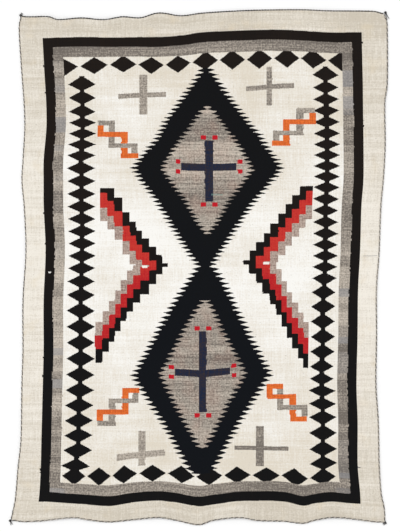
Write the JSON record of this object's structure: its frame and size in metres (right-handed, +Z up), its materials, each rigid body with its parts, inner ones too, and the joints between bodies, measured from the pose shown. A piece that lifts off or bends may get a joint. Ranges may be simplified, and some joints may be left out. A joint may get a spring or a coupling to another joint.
{
  "type": "navajo blanket",
  "caption": "Hand-woven tapestry blanket lying flat, with twined edge cords, knotted corners and a bold serrated diamond pattern.",
  "frame": {"origin": "middle of the cloth's flat underside", "axes": "+X along the wefts to the right, +Y along the warps to the top end, +Z up from the surface it lies on"},
  "size_m": [1.3672, 1.8576, 0.0109],
  "materials": {
    "tapestry_wool": "matte weft-faced hand-spun wool",
    "twined_cord": "matte two-ply wool, one ply charcoal and one cream",
    "twined_cord_dark": "matte two-ply charcoal wool",
    "knotted_ply": "matte single-ply charcoal wool"
  },
  "bodies": {
    "root": {"woven_cloth": "tapestry_wool", "side_cord_left": "twined_cord", "side_cord_right": "twined_cord", "end_cord_top": "twined_cord_dark", "end_cord_bottom": "twined_cord", "corner_knot_top_left": "knotted_ply", "corner_knot_top_right": "knotted_ply", "corner_knot_bottom_left": "knotted_ply", "corner_knot_bottom_right": "knotted_ply"}
  },
  "joints": []
}
